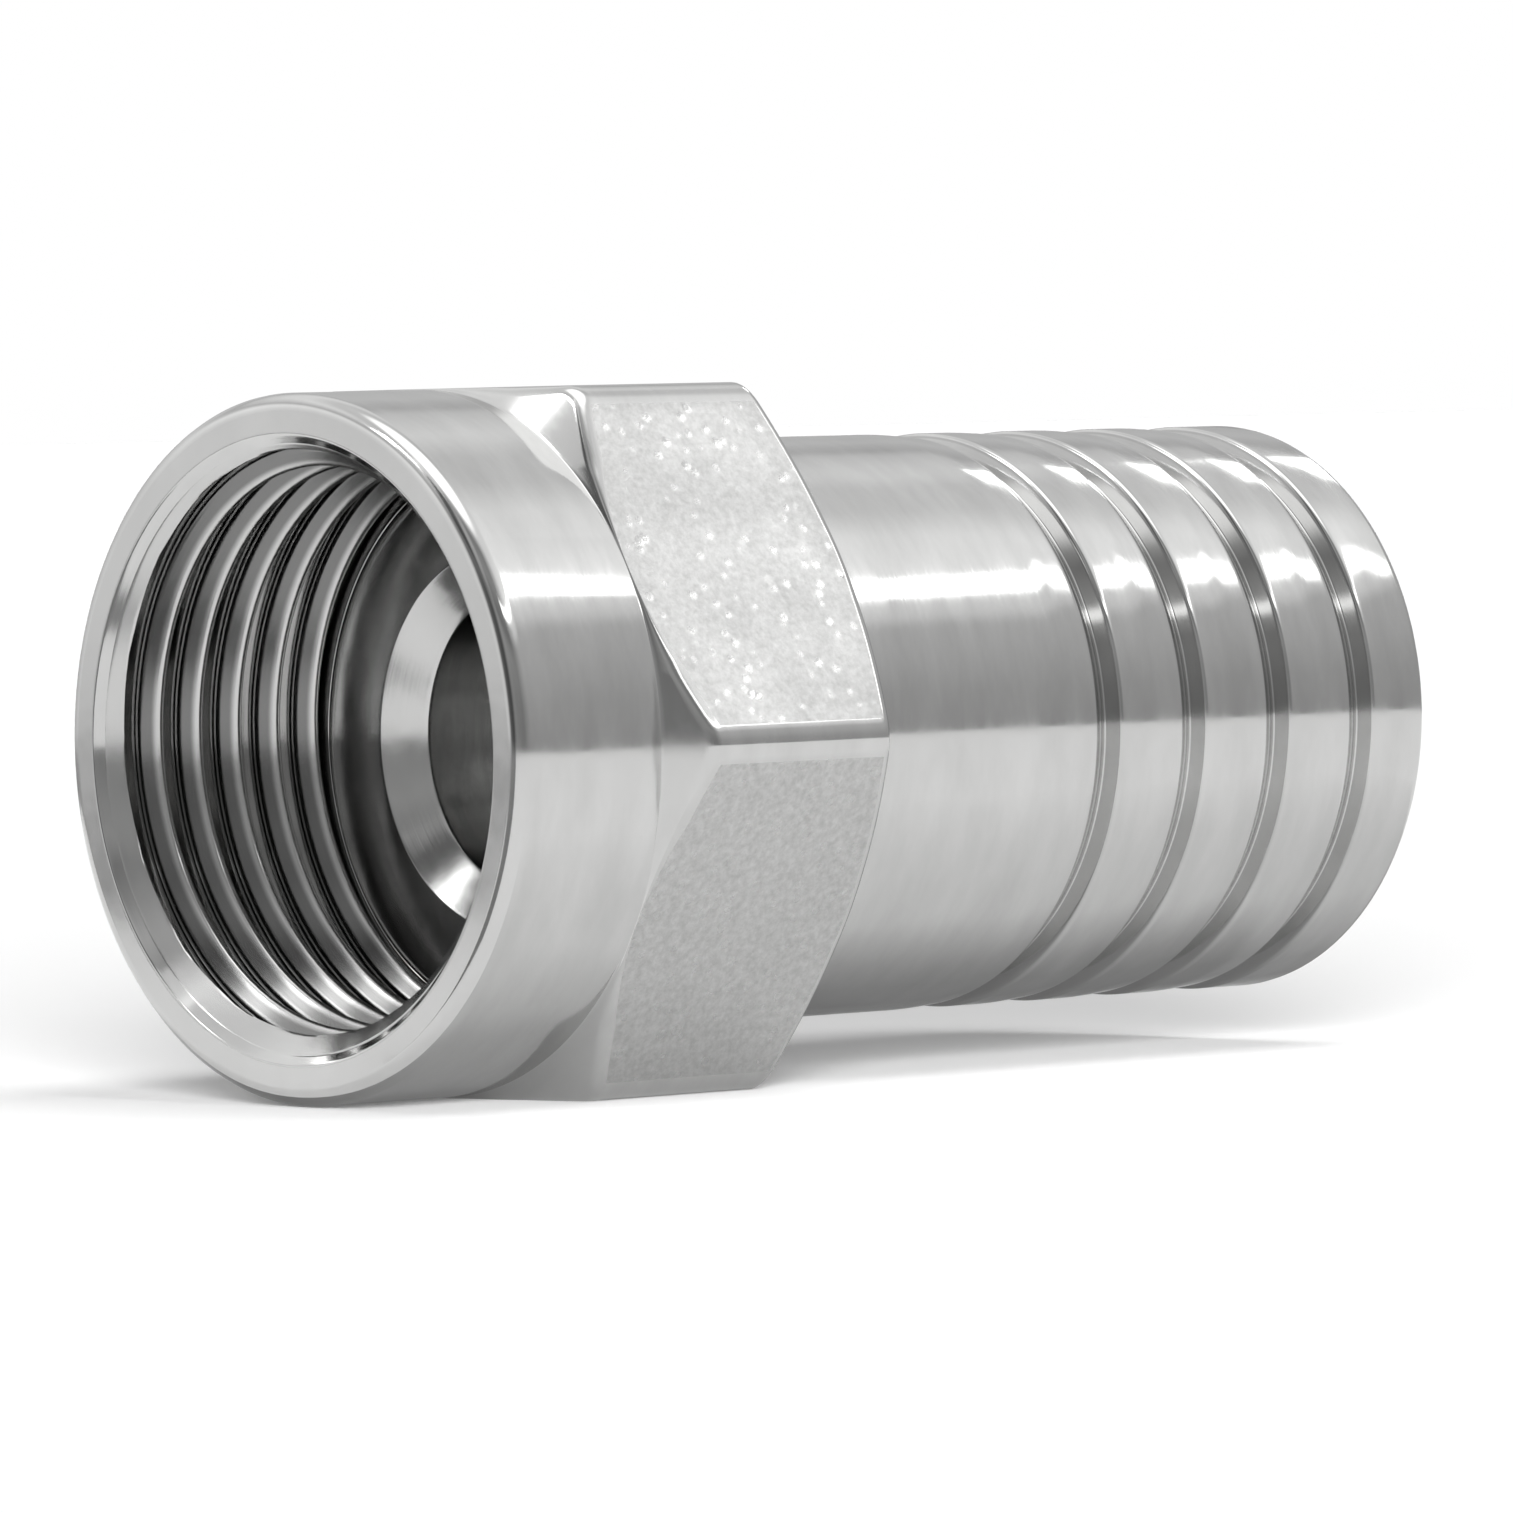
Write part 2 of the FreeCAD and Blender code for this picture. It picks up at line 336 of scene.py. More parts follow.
def spread(tree, value, target=(0.0, 1.0)):
    """A noise stretched over the target range."""
    return mapped(tree, value, NOISE_RANGE, target)


def bump(tree, height, distance, below=None):
    """A bump of that height in millimetres, on top of the one below where there is one."""
    node = tree.nodes.new("ShaderNodeBump")
    node.inputs["Distance"].default_value = distance * MM
    tree.links.new(height, node.inputs["Height"])
    if below is not None:
        tree.links.new(below, node.inputs["Normal"])
    return node.outputs["Normal"]


def tint(tree, value, dark, light):
    """A colour between two greys. A Mix node's colours are its inputs 6 and 7 and its output 2."""
    node = tree.nodes.new("ShaderNodeMix")
    node.data_type = "RGBA"
    node.inputs[6].default_value = (*dark, 1)
    node.inputs[7].default_value = (*light, 1)
    tree.links.new(value, node.inputs[0])
    return node.outputs[2]


def new_metal(name):
    """A metal: its material, its tree, the place on the object and the shader's inputs."""
    material, tree, surface = new_material(name)
    shader = tree.nodes.new("ShaderNodeBsdfPrincipled")
    shader.inputs["Metallic"].default_value = 1.0
    tree.links.new(shader.outputs["BSDF"], surface)
    return material, tree, place_on_object(tree), shader.inputs


# Nickel plate.
NICKEL_DARK = (0.54, 0.54, 0.535)
NICKEL_LIGHT = (0.61, 0.61, 0.605)

# Painted shade in the thread's groove: the share of its colour that the plate keeps down in the groove, and
# the depths between which that painted shade comes in, outside the crests and behind the countersink's cone.
GROOVE_SHARE = 0.36
GROOVE_EDGES = (0.03, 0.12)
CONE_EDGES = (0.01, 0.05)


def duller_in_groove(tree, place, colour):
    """The colour as it is on the crests and the countersink, and darkened in the groove by painted shade."""
    x, y, z = parts_of(tree, place)
    reach = off_axis(tree, y, z)
    depths = (
        (reach, THREAD_CREST, GROOVE_EDGES),
        (worked(tree, "ADD", reach, x), MOUTH_RADIUS + MOUTH, CONE_EDGES),
    )
    deep = 1.0
    for value, start, (low, high) in depths:
        edge = mapped(tree, value, ((start + low) * MM, (start + high) * MM), interpolation="SMOOTHSTEP")
        deep = worked(tree, "MULTIPLY", edge, deep)
    lost = worked(tree, "MULTIPLY", deep, 1.0 - GROOVE_SHARE)
    scaled = tree.nodes.new("ShaderNodeVectorMath")
    scaled.operation = "SCALE"
    tree.links.new(colour, scaled.inputs[0])
    tree.links.new(worked(tree, "SUBTRACT", 1.0, lost), scaled.inputs["Scale"])
    return scaled.outputs["Vector"]


def nickel(name, gloss, turning, ripple, grooved=False):
    """Bright plate over turned brass: fine turning lines round the axis, a slow ripple and faint smears."""
    material, tree, place, shader = new_metal(name)
    lines = noise(tree, place, (14.0, 0.05, 0.05), detail=3.0, roughness=0.7)
    waves = noise(tree, place, (0.9, 0.9, 0.9))
    smears = noise(tree, place, (1.6, 0.5, 0.5), detail=4.0, roughness=0.6)
    colour = tint(tree, spread(tree, smears), NICKEL_DARK, NICKEL_LIGHT)
    # Painted shade: the colour is darkened down in the thread's groove.
    if grooved:
        colour = duller_in_groove(tree, place, colour)
    tree.links.new(colour, shader["Base Color"])
    tree.links.new(spread(tree, smears, gloss), shader["Roughness"])
    rippled = bump(tree, waves, ripple)
    tree.links.new(bump(tree, lines, turning, below=rippled), shader["Normal"])
    return material


# The nut's flats, and their bright specks: cells per millimetre, where in its cell a speck starts and is
# full, how it is scattered, and how much gloss it gains.
FLAT_DARK = (0.44, 0.44, 0.435)
FLAT_LIGHT = (0.58, 0.58, 0.575)
SPECK_CELLS = 3.2
SPECK_EDGES = (0.42, 0.12)
SPECK_SCATTER = (2.3, 2.3, 2.3)
SPECK_GLOSS = 0.8


def specks(tree, place):
    """1 on scattered specks, else 0."""
    spacing = tree.nodes.new("ShaderNodeMapping")
    spacing.inputs["Scale"].default_value = [SPECK_CELLS / MM] * 3
    cells = tree.nodes.new("ShaderNodeTexVoronoi")
    cells.inputs["Scale"].default_value = 1.0
    tree.links.new(place, spacing.inputs["Vector"])
    tree.links.new(spacing.outputs["Vector"], cells.inputs["Vector"])
    speck = mapped(tree, cells.outputs["Distance"], SPECK_EDGES, interpolation="SMOOTHSTEP")
    return worked(tree, "MULTIPLY", speck, spread(tree, noise(tree, place, SPECK_SCATTER)))


def pickled_flat(name, gloss, grain):
    """The nut's flats, as the bar was drawn and pickled: a sandy grain under the plate, and bright specks."""
    material, tree, place, shader = new_metal(name)
    sand = noise(tree, place, (8.0, 8.0, 8.0), detail=3.0, roughness=0.7)
    patches = noise(tree, place, (0.9, 0.9, 0.9), detail=3.0, roughness=0.6)
    speck = specks(tree, place)
    tree.links.new(tint(tree, spread(tree, sand), FLAT_DARK, FLAT_LIGHT), shader["Base Color"])
    polish = worked(tree, "SUBTRACT", 1.0, worked(tree, "MULTIPLY", speck, SPECK_GLOSS))
    tree.links.new(worked(tree, "MULTIPLY", spread(tree, patches, gloss), polish), shader["Roughness"])
    tree.links.new(bump(tree, speck, grain, below=bump(tree, sand, grain)), shader["Normal"])
    return material


nut_nickel = nickel("nut_nickel", gloss=(0.07, 0.14), turning=0.0006, ripple=0.003)
flat_nickel = pickled_flat("flat_nickel", gloss=(0.3, 0.4), grain=0.005)
# The thread's nickel carries painted shade in its groove.
thread_nickel = nickel("thread_nickel", gloss=(0.16, 0.24), turning=0.0003, ripple=0.003, grooved=True)
post_nickel = nickel("post_nickel", gloss=(0.12, 0.22), turning=0.0012, ripple=0.01)
sleeve_nickel = nickel("sleeve_nickel", gloss=(0.07, 0.14), turning=0.0006, ripple=0.003)


# Coupling nut: every slice has its own hexagon radius, so the chamfers meet the flats in their true curves.
def hexagon_radius(off_flat):
    """The hexagon's radius at an angle from the middle of a flat, with its corners rounded."""
    off_flat = abs(off_flat)
    if off_flat <= ROUNDING_START:
        return HEX_FLAT / math.cos(off_flat)
    off_corner = HALF_SIDE - off_flat
    centre = (HEX_FLAT - CORNER_ROUNDING) / math.cos(HALF_SIDE)
    past = math.sqrt(CORNER_ROUNDING ** 2 - (centre * math.sin(off_corner)) ** 2)
    return centre * math.cos(off_corner) + past


def nut_corners(hexagon):
    """The nut's outline where the hexagon has this radius."""
    front = SHOULDER + (hexagon - COLLAR_RADIUS) * CHAMFER_SLOPE
    rear = NUT_REAR - (hexagon - REAR_FACE_RADIUS) * CHAMFER_SLOPE
    return (
        (MOUTH, MOUTH_RADIUS, SOFT),
        (MOUTH, COLLAR_RADIUS, COLLAR_ROUNDING),
        (SHOULDER, COLLAR_RADIUS, CRISP),
        (front, hexagon, FRONT_CHAMFER_ROUNDING),
        (rear, hexagon, REAR_CHAMFER_ROUNDING),
        (NUT_REAR, REAR_FACE_RADIUS, REAR_FACE_ROUNDING),
        (NUT_REAR, LIP_BORE, SOFT),
        (LIP_FRONT, LIP_BORE, CRISP),
        (LIP_FRONT, FLANGE_BORE, CRISP),
        (THREAD_END, FLANGE_BORE, CRISP),
        (THREAD_END, THREAD_ROOT, SHARP),
        (COUNTERSINK_END, THREAD_ROOT, SHARP),
    )


def nut_slices():
    """The nut's slices, closest together round the hexagon's corners."""
    corner = 2 * (HALF_SIDE - ROUNDING_START)
    offsets = [ROUNDING_START * (2 * i / FLAT_SLICES - 1) for i in range(FLAT_SLICES + 1)]
    offsets += [ROUNDING_START + corner * i / CORNER_SLICES for i in range(1, CORNER_SLICES)]
    slices = []
    for side in range(6):
        middle = math.radians(60 * side - 90)   # the first flat faces the floor
        for offset in offsets:
            off_flat = offset if offset <= HALF_SIDE else offset - 2 * HALF_SIDE
            slices.append((middle + offset, rounded_outline(nut_corners(hexagon_radius(off_flat)))))
    return slices


def nut_finish(middle, normal):
    """1 for a flat of the hexagon, else 0, by the middle and the normal of a face."""
    outside = math.hypot(middle.y, middle.z) > HEX_FLAT - FLAT_SLACK and middle.x > SHOULDER
    # The normals of the flats are at 30 degrees, 90 degrees and so on.
    towards = math.degrees(math.atan2(normal.z, normal.y)) % 60
    return 1 if outside and abs(normal.x) < FLAT_LEAN and abs(towards - 30) < FLAT_TURN else 0


nut = ring_mesh("nut_body", nut_slices(), [nut_nickel, flat_nickel], nut_finish)


# Coupling thread: a ridge swept along a helix, cut back to the mouth's countersink.
def group_with(name, sizes):
    """A geometry tree with a named input for each size and one for the material, and its two ends."""
    tree = bpy.data.node_groups.new(name, "GeometryNodeTree")
    tree.interface.new_socket("Geometry", in_out="INPUT", socket_type="NodeSocketGeometry")
    for label, value in sizes.items():
        socket = tree.interface.new_socket(label, in_out="INPUT", socket_type="NodeSocketFloat")
        socket.default_value = value
    tree.interface.new_socket("Material", in_out="INPUT", socket_type="NodeSocketMaterial")
    tree.interface.new_socket("Geometry", in_out="OUTPUT", socket_type="NodeSocketGeometry")
    return tree, tree.nodes.new("NodeGroupInput").outputs, tree.nodes.new("NodeGroupOutput").inputs


def helix(tree, get):
    """A helix about Z, half way up the ridge."""
    link = tree.links.new
    middle = worked(tree, "ADD", get["Crest radius"], worked(tree, "MULTIPLY", get["Ridge height"], 0.5))
    spiral = tree.nodes.new("GeometryNodeCurveSpiral")
    spiral.inputs["Resolution"].default_value = HELIX_POINTS
    link(get["Turns"], spiral.inputs["Rotations"])
    link(middle, spiral.inputs["Start Radius"])
    link(middle, spiral.inputs["End Radius"])
    link(worked(tree, "MULTIPLY", get["Turns"], get["Pitch"]), spiral.inputs["Height"])
    upright = tree.nodes.new("GeometryNodeSetCurveNormal")
    upright.mode = "Z_UP"
    link(spiral.outputs["Curve"], upright.inputs["Curve"])
    return upright.outputs["Curve"]


def ridge_section(tree, get):
    """The ridge's section, a trapezoid with its rounded crest towards the axis."""
    link = tree.links.new
    section = tree.nodes.new("GeometryNodeCurvePrimitiveQuadrilateral")
    section.mode = "TRAPEZOID"
    link(get["Root width"], section.inputs["Bottom Width"])
    link(get["Crest width"], section.inputs["Top Width"])
    link(get["Ridge height"], section.inputs["Height"])
    section.inputs["Offset"].default_value = 0.0
    rounded = tree.nodes.new("GeometryNodeFilletCurve")
    rounded.mode = "POLY"
    rounded.inputs["Count"].default_value = CREST_POINTS
    rounded.inputs["Limit Radius"].default_value = True
    link(get["Crest rounding"], rounded.inputs["Radius"])
    link(section.outputs["Curve"], rounded.inputs["Curve"])
    divided = tree.nodes.new("GeometryNodeResampleCurve")
    divided.inputs["Count"].default_value = SECTION_POINTS
    link(rounded.outputs["Curve"], divided.inputs["Curve"])
    turned = tree.nodes.new("GeometryNodeTransform")
    turned.inputs["Rotation"].default_value = (0.0, 0.0, SECTION_TURN)
    link(divided.outputs["Curve"], turned.inputs["Geometry"])
    return turned.outputs["Geometry"]


def kept_in_bore(tree, get, ridge):
    """The ridge between the mouth and the thread's end, and outside the countersink's cone."""
    link = tree.links.new
    x, y, z = parts_of(tree, tree.nodes.new("GeometryNodeInputPosition").outputs["Position"])
    along = worked(tree, "MAXIMUM", x, worked(tree, "ADD", get["Mouth"], MOUTH_SETBACK * MM))
    along = worked(tree, "MINIMUM", along, get["End"])
    reach = off_axis(tree, y, z)
    cone = worked(tree, "SUBTRACT", get["Mouth radius"], worked(tree, "SUBTRACT", along, get["Mouth"]))
    eased = ((COUNTERSINK_END - CONE_EASE) * MM, COUNTERSINK_END * MM)
    cone = worked(tree, "ADD", cone, mapped(tree, along, eased, (CONE_DEPTH * MM, 0.0)))
    wider = worked(tree, "DIVIDE", worked(tree, "MAXIMUM", reach, cone), reach)
    joined = tree.nodes.new("ShaderNodeCombineXYZ")
    link(along, joined.inputs["X"])
    link(worked(tree, "MULTIPLY", y, wider), joined.inputs["Y"])
    link(worked(tree, "MULTIPLY", z, wider), joined.inputs["Z"])
    moved = tree.nodes.new("GeometryNodeSetPosition")
    link(ridge, moved.inputs["Geometry"])
    link(joined.outputs["Vector"], moved.inputs["Position"])
    return moved.outputs["Geometry"]


def thread_tree():
    """The tree that sweeps the ridge along the helix, lays it along X and cuts it to the bore."""
    sizes = {
        "Pitch": PITCH * MM,
        "Turns": 7.0,
        "Lead-in": 0.5 * PITCH * MM,
        "Ridge height": 0.42 * MM,
        "Root width": 0.75 * MM,
        "Crest width": 0.07 * MM,
        "Crest rounding": 0.11 * MM,
        "Crest radius": THREAD_CREST * MM,
        "Mouth": MOUTH * MM,
        "Mouth radius": MOUTH_RADIUS * MM,
        "End": (THREAD_END + THREAD_OVERLAP) * MM,
    }
    tree, get, result = group_with("coupling_thread", sizes)
    link = tree.links.new
    swept = tree.nodes.new("GeometryNodeCurveToMesh")
    swept.inputs["Fill Caps"].default_value = True
    link(helix(tree, get), swept.inputs["Curve"])
    link(ridge_section(tree, get), swept.inputs["Profile Curve"])
    laid = tree.nodes.new("GeometryNodeTransform")
    laid.inputs["Rotation"].default_value = (0.0, math.pi / 2, 0.0)
    start = tree.nodes.new("ShaderNodeCombineXYZ")
    link(worked(tree, "SUBTRACT", get["Mouth"], get["Lead-in"]), start.inputs["X"])
    link(start.outputs["Vector"], laid.inputs["Translation"])
    link(swept.outputs["Mesh"], laid.inputs["Geometry"])
    welded = tree.nodes.new("GeometryNodeMergeByDistance")
    welded.inputs["Distance"].default_value = WELD * MM
    link(kept_in_bore(tree, get, laid.outputs["Geometry"]), welded.inputs["Geometry"])
    plain = tree.nodes.new("GeometryNodeRealizeInstances")
    link(welded.outputs["Geometry"], plain.inputs["Geometry"])
    coated = tree.nodes.new("GeometryNodeSetMaterial")
    link(plain.outputs["Geometry"], coated.inputs["Geometry"])
    link(get["Material"], coated.inputs["Material"])
    link(coated.outputs["Geometry"], result["Geometry"])
    return tree


def made_by(name, tree, material):
    """The plain mesh that a geometry tree makes, as a piece of its own."""
    holder = placed(f"{name}_holder", bpy.data.meshes.new(f"{name}_holder"))
    modifier = holder.modifiers.new(name, "NODES")
    modifier.node_group = tree
    for item in tree.interface.items_tree:
        if item.item_type == "SOCKET" and item.in_out == "INPUT" and item.name == "Material":
            modifier[item.identifier] = material
    bpy.context.view_layer.update()
    evaluated = holder.evaluated_get(bpy.context.evaluated_depsgraph_get())
    data = bpy.data.meshes.new_from_object(evaluated)
    data.name = name
    holder.modifiers.remove(modifier)
    bpy.data.objects.remove(holder)
    mesh = bmesh.new()
    mesh.from_mesh(data)
    bmesh.ops.recalc_face_normals(mesh, faces=mesh.faces)
    return smooth_piece(name, mesh, data, THREAD_SHARP)


thread = made_by("coupling_thread", thread_tree(), thread_nickel)


# Post: flange with its countersink, neck, seat and the barbed tube under the sleeve.
def post_corners():
    """The post's outline, from the mating face round the outside and back through the bore."""
    corners = [
        (0.0, FUNNEL_RADIUS, CRISP),
        (0.0, FLANGE_RADIUS, SOFT),
        (FLANGE_THICKNESS, FLANGE_RADIUS, FLANGE_ROUNDING),
        (FLANGE_THICKNESS, NECK_RADIUS, CRISP),
        (SLEEVE_FRONT, NECK_RADIUS, CRISP),
        (SLEEVE_FRONT, SEAT_RADIUS, SHARP),
        (WEB_REAR, SEAT_RADIUS, SHARP),
        (WEB_REAR, TAIL_RADIUS, CRISP),
    ]
    foot = TAIL_END - BARB_PLACE - (BARB_COUNT - 1) * BARB_PITCH
    for i in range(BARB_COUNT):
        start = foot + i * BARB_PITCH
        corners.append((start, TAIL_RADIUS, THIN))
        corners.append((start, TAIL_RADIUS + BARB_HEIGHT, CRISP))
        corners.append((start + BARB_LENGTH, TAIL_RADIUS, THIN))
    corners += [
        (TAIL_END - TIP_TAPER, TAIL_RADIUS, SOFT),
        (TAIL_END, BORE_RADIUS + TIP_WALL, THIN),
        (TAIL_END, BORE_RADIUS, THIN),
        (FUNNEL_DEPTH, BORE_RADIUS, SOFT),
    ]
    return corners


post = turned_piece("post_body", post_corners(), post_nickel, steps=192)


# Sleeve: a ringed tube, whose lands fall slightly before they drop into the grooves behind them.
def land_drop(past):
    """How far a land has fallen, that far past the start of its fall."""
    if past < LAND_EASE:
        return LAND_SLOPE * past ** 2 / (2 * LAND_EASE)
    return LAND_SLOPE * (past - LAND_EASE / 2)


def sleeve_corners():
    """The sleeve's outline, from its front face round the outside and back through the bore."""
    corners = [
        (SLEEVE_FRONT, SEAT_RADIUS, SHARP),
        (SLEEVE_FRONT, SLEEVE_RADIUS - SLEEVE_CHAMFER, SLEEVE_FRONT_ROUNDING),
        (SLEEVE_FRONT + SLEEVE_CHAMFER, SLEEVE_RADIUS, SLEEVE_CHAMFER_ROUNDING),
    ]
    for i in range(RING_COUNT):
        start = RING_PLACE + i * RING_PITCH
        floor_start = start + RING_SLOPE
        floor_end = floor_start + RING_FLOOR
        for step in range(LAND_STEPS + 1):
            past = LAND_EASE * step / LAND_STEPS
            corners.append((start - LAND_FALL + past, SLEEVE_RADIUS - land_drop(past), SHARP))
        edge_drop = land_drop(LAND_FALL + LAND_EDGE)
        corners.append((start + LAND_EDGE, SLEEVE_RADIUS - edge_drop, LAND_ROUNDING))
        corners.append((floor_start, SLEEVE_RADIUS - RING_DEPTH, RING_FLOOR_ROUNDING))
        corners.append((floor_end, SLEEVE_RADIUS - RING_DEPTH, CRISP))
        corners.append((floor_end + RING_WALL, SLEEVE_RADIUS, RING_WALL_ROUNDING))
    corners += [
        (SLEEVE_END, SLEEVE_RADIUS, SLEEVE_END_ROUNDING),
        (SLEEVE_END, SLEEVE_BORE + BORE_CHAMFER, SOFT),
        (SLEEVE_END - BORE_CHAMFER, SLEEVE_BORE, SOFT),
        (WEB_REAR, SLEEVE_BORE, SOFT),
        (WEB_REAR, SEAT_RADIUS, SHARP),
    ]
    return corners


sleeve = turned_piece("sleeve_body", sleeve_corners(), sleeve_nickel, steps=288)


# Studio: a pale floor, an even white surround, soft light, and a dome of greys and lamps for the metal.
WHITE = (1, 1, 1, 1)
WORLD_LIGHT = 0.16
FLOOR_COLOUR = (0.9, 0.9, 0.9, 1)
FLOOR_GLOW = 0.1
FLOOR_REACH = 6000.0


def seen_directly(tree):
    """1 for camera, glossy and transmission rays, else 0."""
    path = tree.nodes.new("ShaderNodeLightPath")
    total = worked(tree, "ADD", path.outputs["Is Camera Ray"], path.outputs["Is Glossy Ray"])
    total = worked(tree, "ADD", total, path.outputs["Is Transmission Ray"])
    return worked(tree, "MINIMUM", total, 1.0)


def white_glow(tree, strength):
    """A white emission of that strength."""
    glow = tree.nodes.new("ShaderNodeEmission")
    glow.inputs["Color"].default_value = WHITE
    feed(tree, strength, glow.inputs["Strength"])
    return glow.outputs["Emission"]


def staged(name, points, faces, material):
    """A prop that isn't part of the connector."""
    data = bpy.data.meshes.new(name)
    data.from_pydata(points, [], faces)
    data.materials.append(material)
    prop = placed(name, data)
    return prop


def only_mirrored(prop):
    """Hides a prop from all but reflections."""
    prop.visible_camera = False
    prop.visible_diffuse = False
    prop.visible_shadow = False
    prop.visible_transmission = False


def studio_world():
    """An even white surround: it shows as white and lights at WORLD_LIGHT."""
    world = bpy.data.worlds.new("studio")
    bpy.context.scene.world = world
    world.use_nodes = True
    tree = world.node_tree
    shade = tree.nodes["Background"]
    shade.inputs["Color"].default_value = WHITE
    strength = mapped(tree, seen_directly(tree), (0.0, 1.0), (WORLD_LIGHT, 1.0))
    tree.links.new(strength, shade.inputs["Strength"])


def floor_paper():
    """A pale paper floor that reaches white where nothing shades it, and keeps the shadow."""
    material, tree, surface = new_material("floor_paper")
    paper = tree.nodes.new("ShaderNodeBsdfDiffuse")
    paper.inputs["Color"].default_value = FLOOR_COLOUR
    both = tree.nodes.new("ShaderNodeAddShader")
    tree.links.new(paper.outputs["BSDF"], both.inputs[0])
    glow = worked(tree, "MULTIPLY", seen_directly(tree), FLOOR_GLOW)
    tree.links.new(white_glow(tree, glow), both.inputs[1])
    tree.links.new(both.outputs["Shader"], surface)
    return material


def paper_floor():
    """The floor, out to the horizon."""
    side = FLOOR_REACH * MM
    height = FLOOR_HEIGHT * MM
    corners = [(-side, -side, height), (side, -side, height), (side, side, height), (-side, side, height)]
    staged("floor", corners, [(0, 1, 2, 3)], floor_paper())


# The dome's greys as the nickel mirrors them: its level by the rise in degrees, and the share of it by the
# turn from +X, low down and half way up, each as far as its weight at that rise goes.
LOWEST_RISE = -12.0
FIRST_TURN = -150.0
RISE_GREYS = (
    (-12.0, 0.26),
    (-4.0, 0.3),
    (-2.2, 0.42),
    (-0.6, 0.42),
    (10.0, 0.46),
    (20.0, 0.56),
    (28.0, 0.62),
    (31.0, 0.9),
    (34.5, 1.0),
    (42.0, 1.25),
    (45.5, 1.2),
    (54.0, 1.0),
    (62.0, 1.0),
    (68.0, 2.0),
    (90.0, 2.2),
)
LOW_SHARES = (
    (-150.0, 0.7),
    (-110.0, 0.6),
    (-70.0, 1.0),
    (0.0, 1.0),
    (45.0, 1.1),
    (90.0, 1.6),
    (115.0, 2.2),
    (150.0, 2.2),
    (162.0, 0.4),
    (175.0, 0.22),
    (184.0, 0.25),
    (190.0, 0.5),
    (196.0, 0.75),
    (210.0, 0.75),
)
HALF_WAY_SHARES = (
    (-150.0, 0.3),
    (-120.0, 0.3),
    (-75.0, 1.0),
    (-10.0, 1.0),
    (5.0, 0.75),
    (20.0, 0.68),
    (32.0, 0.8),
    (90.0, 0.9),
    (128.0, 0.9),
    (140.0, 0.8),
    (163.0, 0.75),
    (169.0, 0.12),
    (181.0, 0.12),
    (188.0, 0.45),
    (197.0, 0.5),
    (206.0, 0.32),
    (210.0, 0.3),
)
LOW_WEIGHT = ((-12.0, 0.0), (-1.75, 0.0), (-1.5, 1.0), (20.0, 1.0), (30.0, 0.0), (90.0, 0.0))
HALF_WAY_WEIGHT = ((-12.0, 0.0), (20.0, 0.0), (30.0, 1.0), (56.0, 1.0), (68.0, 0.0), (90.0, 0.0))

# Lamps on the dome, in degrees but for the level: (turn, half width, rise, half height, level). Their edges
# are soft over LAMP_EDGE each way.
DOME_LAMPS = (
    (-69.9, 52.1, 37.8, 2.2, 2.1),      # the long strip of light on the collar and the sleeve
    (-20.9, 3.1, 33.8, 2.4, 2.1),       # the same strip where the lands fall
    (172.0, 12.0, 56.0, 6.0, 0.7),      # the rounding behind the nut's front chamfer
    (24.5, 5.0, 33.3, 3.0, 5.0),        # glints on top of the lands
    (144.5, 4.0, 40.0, 3.5, 3.5),       # the glint on the front chamfer
    (151.5, 8.0, 47.5, 3.5, 7.0),       # glints in the thread and the post's countersink
)
LAMP_EDGE = 0.5

# The dome's shape. Along the floor it comes in to DOME_SKIRT, or nearer: (from turn, to turn, reach).
DOME_RADIUS = 1000.0
DOME_LIFT = 0.2
DOME_SIDES = 180
DOME_STEP = 5                           # degrees
DOME_SKIRT = 166.0
NEARER_SKIRTS = ((62.0, 150.0, 70.0), (150.0, 186.0, 12.0))


def stepped(tree, value, low, high, stops):
    """A level that goes from stop to stop, each (value, level), for a value from low to high."""
    ramp = tree.nodes.new("ShaderNodeValToRGB")
    top = max(level for at, level in stops)
    elements = ramp.color_ramp.elements
    elements.remove(elements[-1])
    for i, (at, level) in enumerate(stops):
        position = (at - low) / (high - low)
        stop = elements[0] if i == 0 else elements.new(position)
        stop.position = position
        stop.color = (level / top, level / top, level / top, 1)
    tree.links.new(mapped(tree, value, (low, high)), ramp.inputs["Fac"])
    return worked(tree, "MULTIPLY", ramp.outputs["Color"], top)


def shared(tree, level, share, weight):
    """A level times its share, as far as the weight goes."""
    excess = worked(tree, "MULTIPLY", worked(tree, "SUBTRACT", share, 1.0), weight)
    return worked(tree, "MULTIPLY", level, worked(tree, "ADD", excess, 1.0))


def within(tree, value, middle, half):
    """1 within half of the middle, in degrees, with soft edges, else 0."""
    off = worked(tree, "ABSOLUTE", worked(tree, "SUBTRACT", value, middle))
    return mapped(tree, off, (half + LAMP_EDGE, half - LAMP_EDGE), interpolation="SMOOTHSTEP")


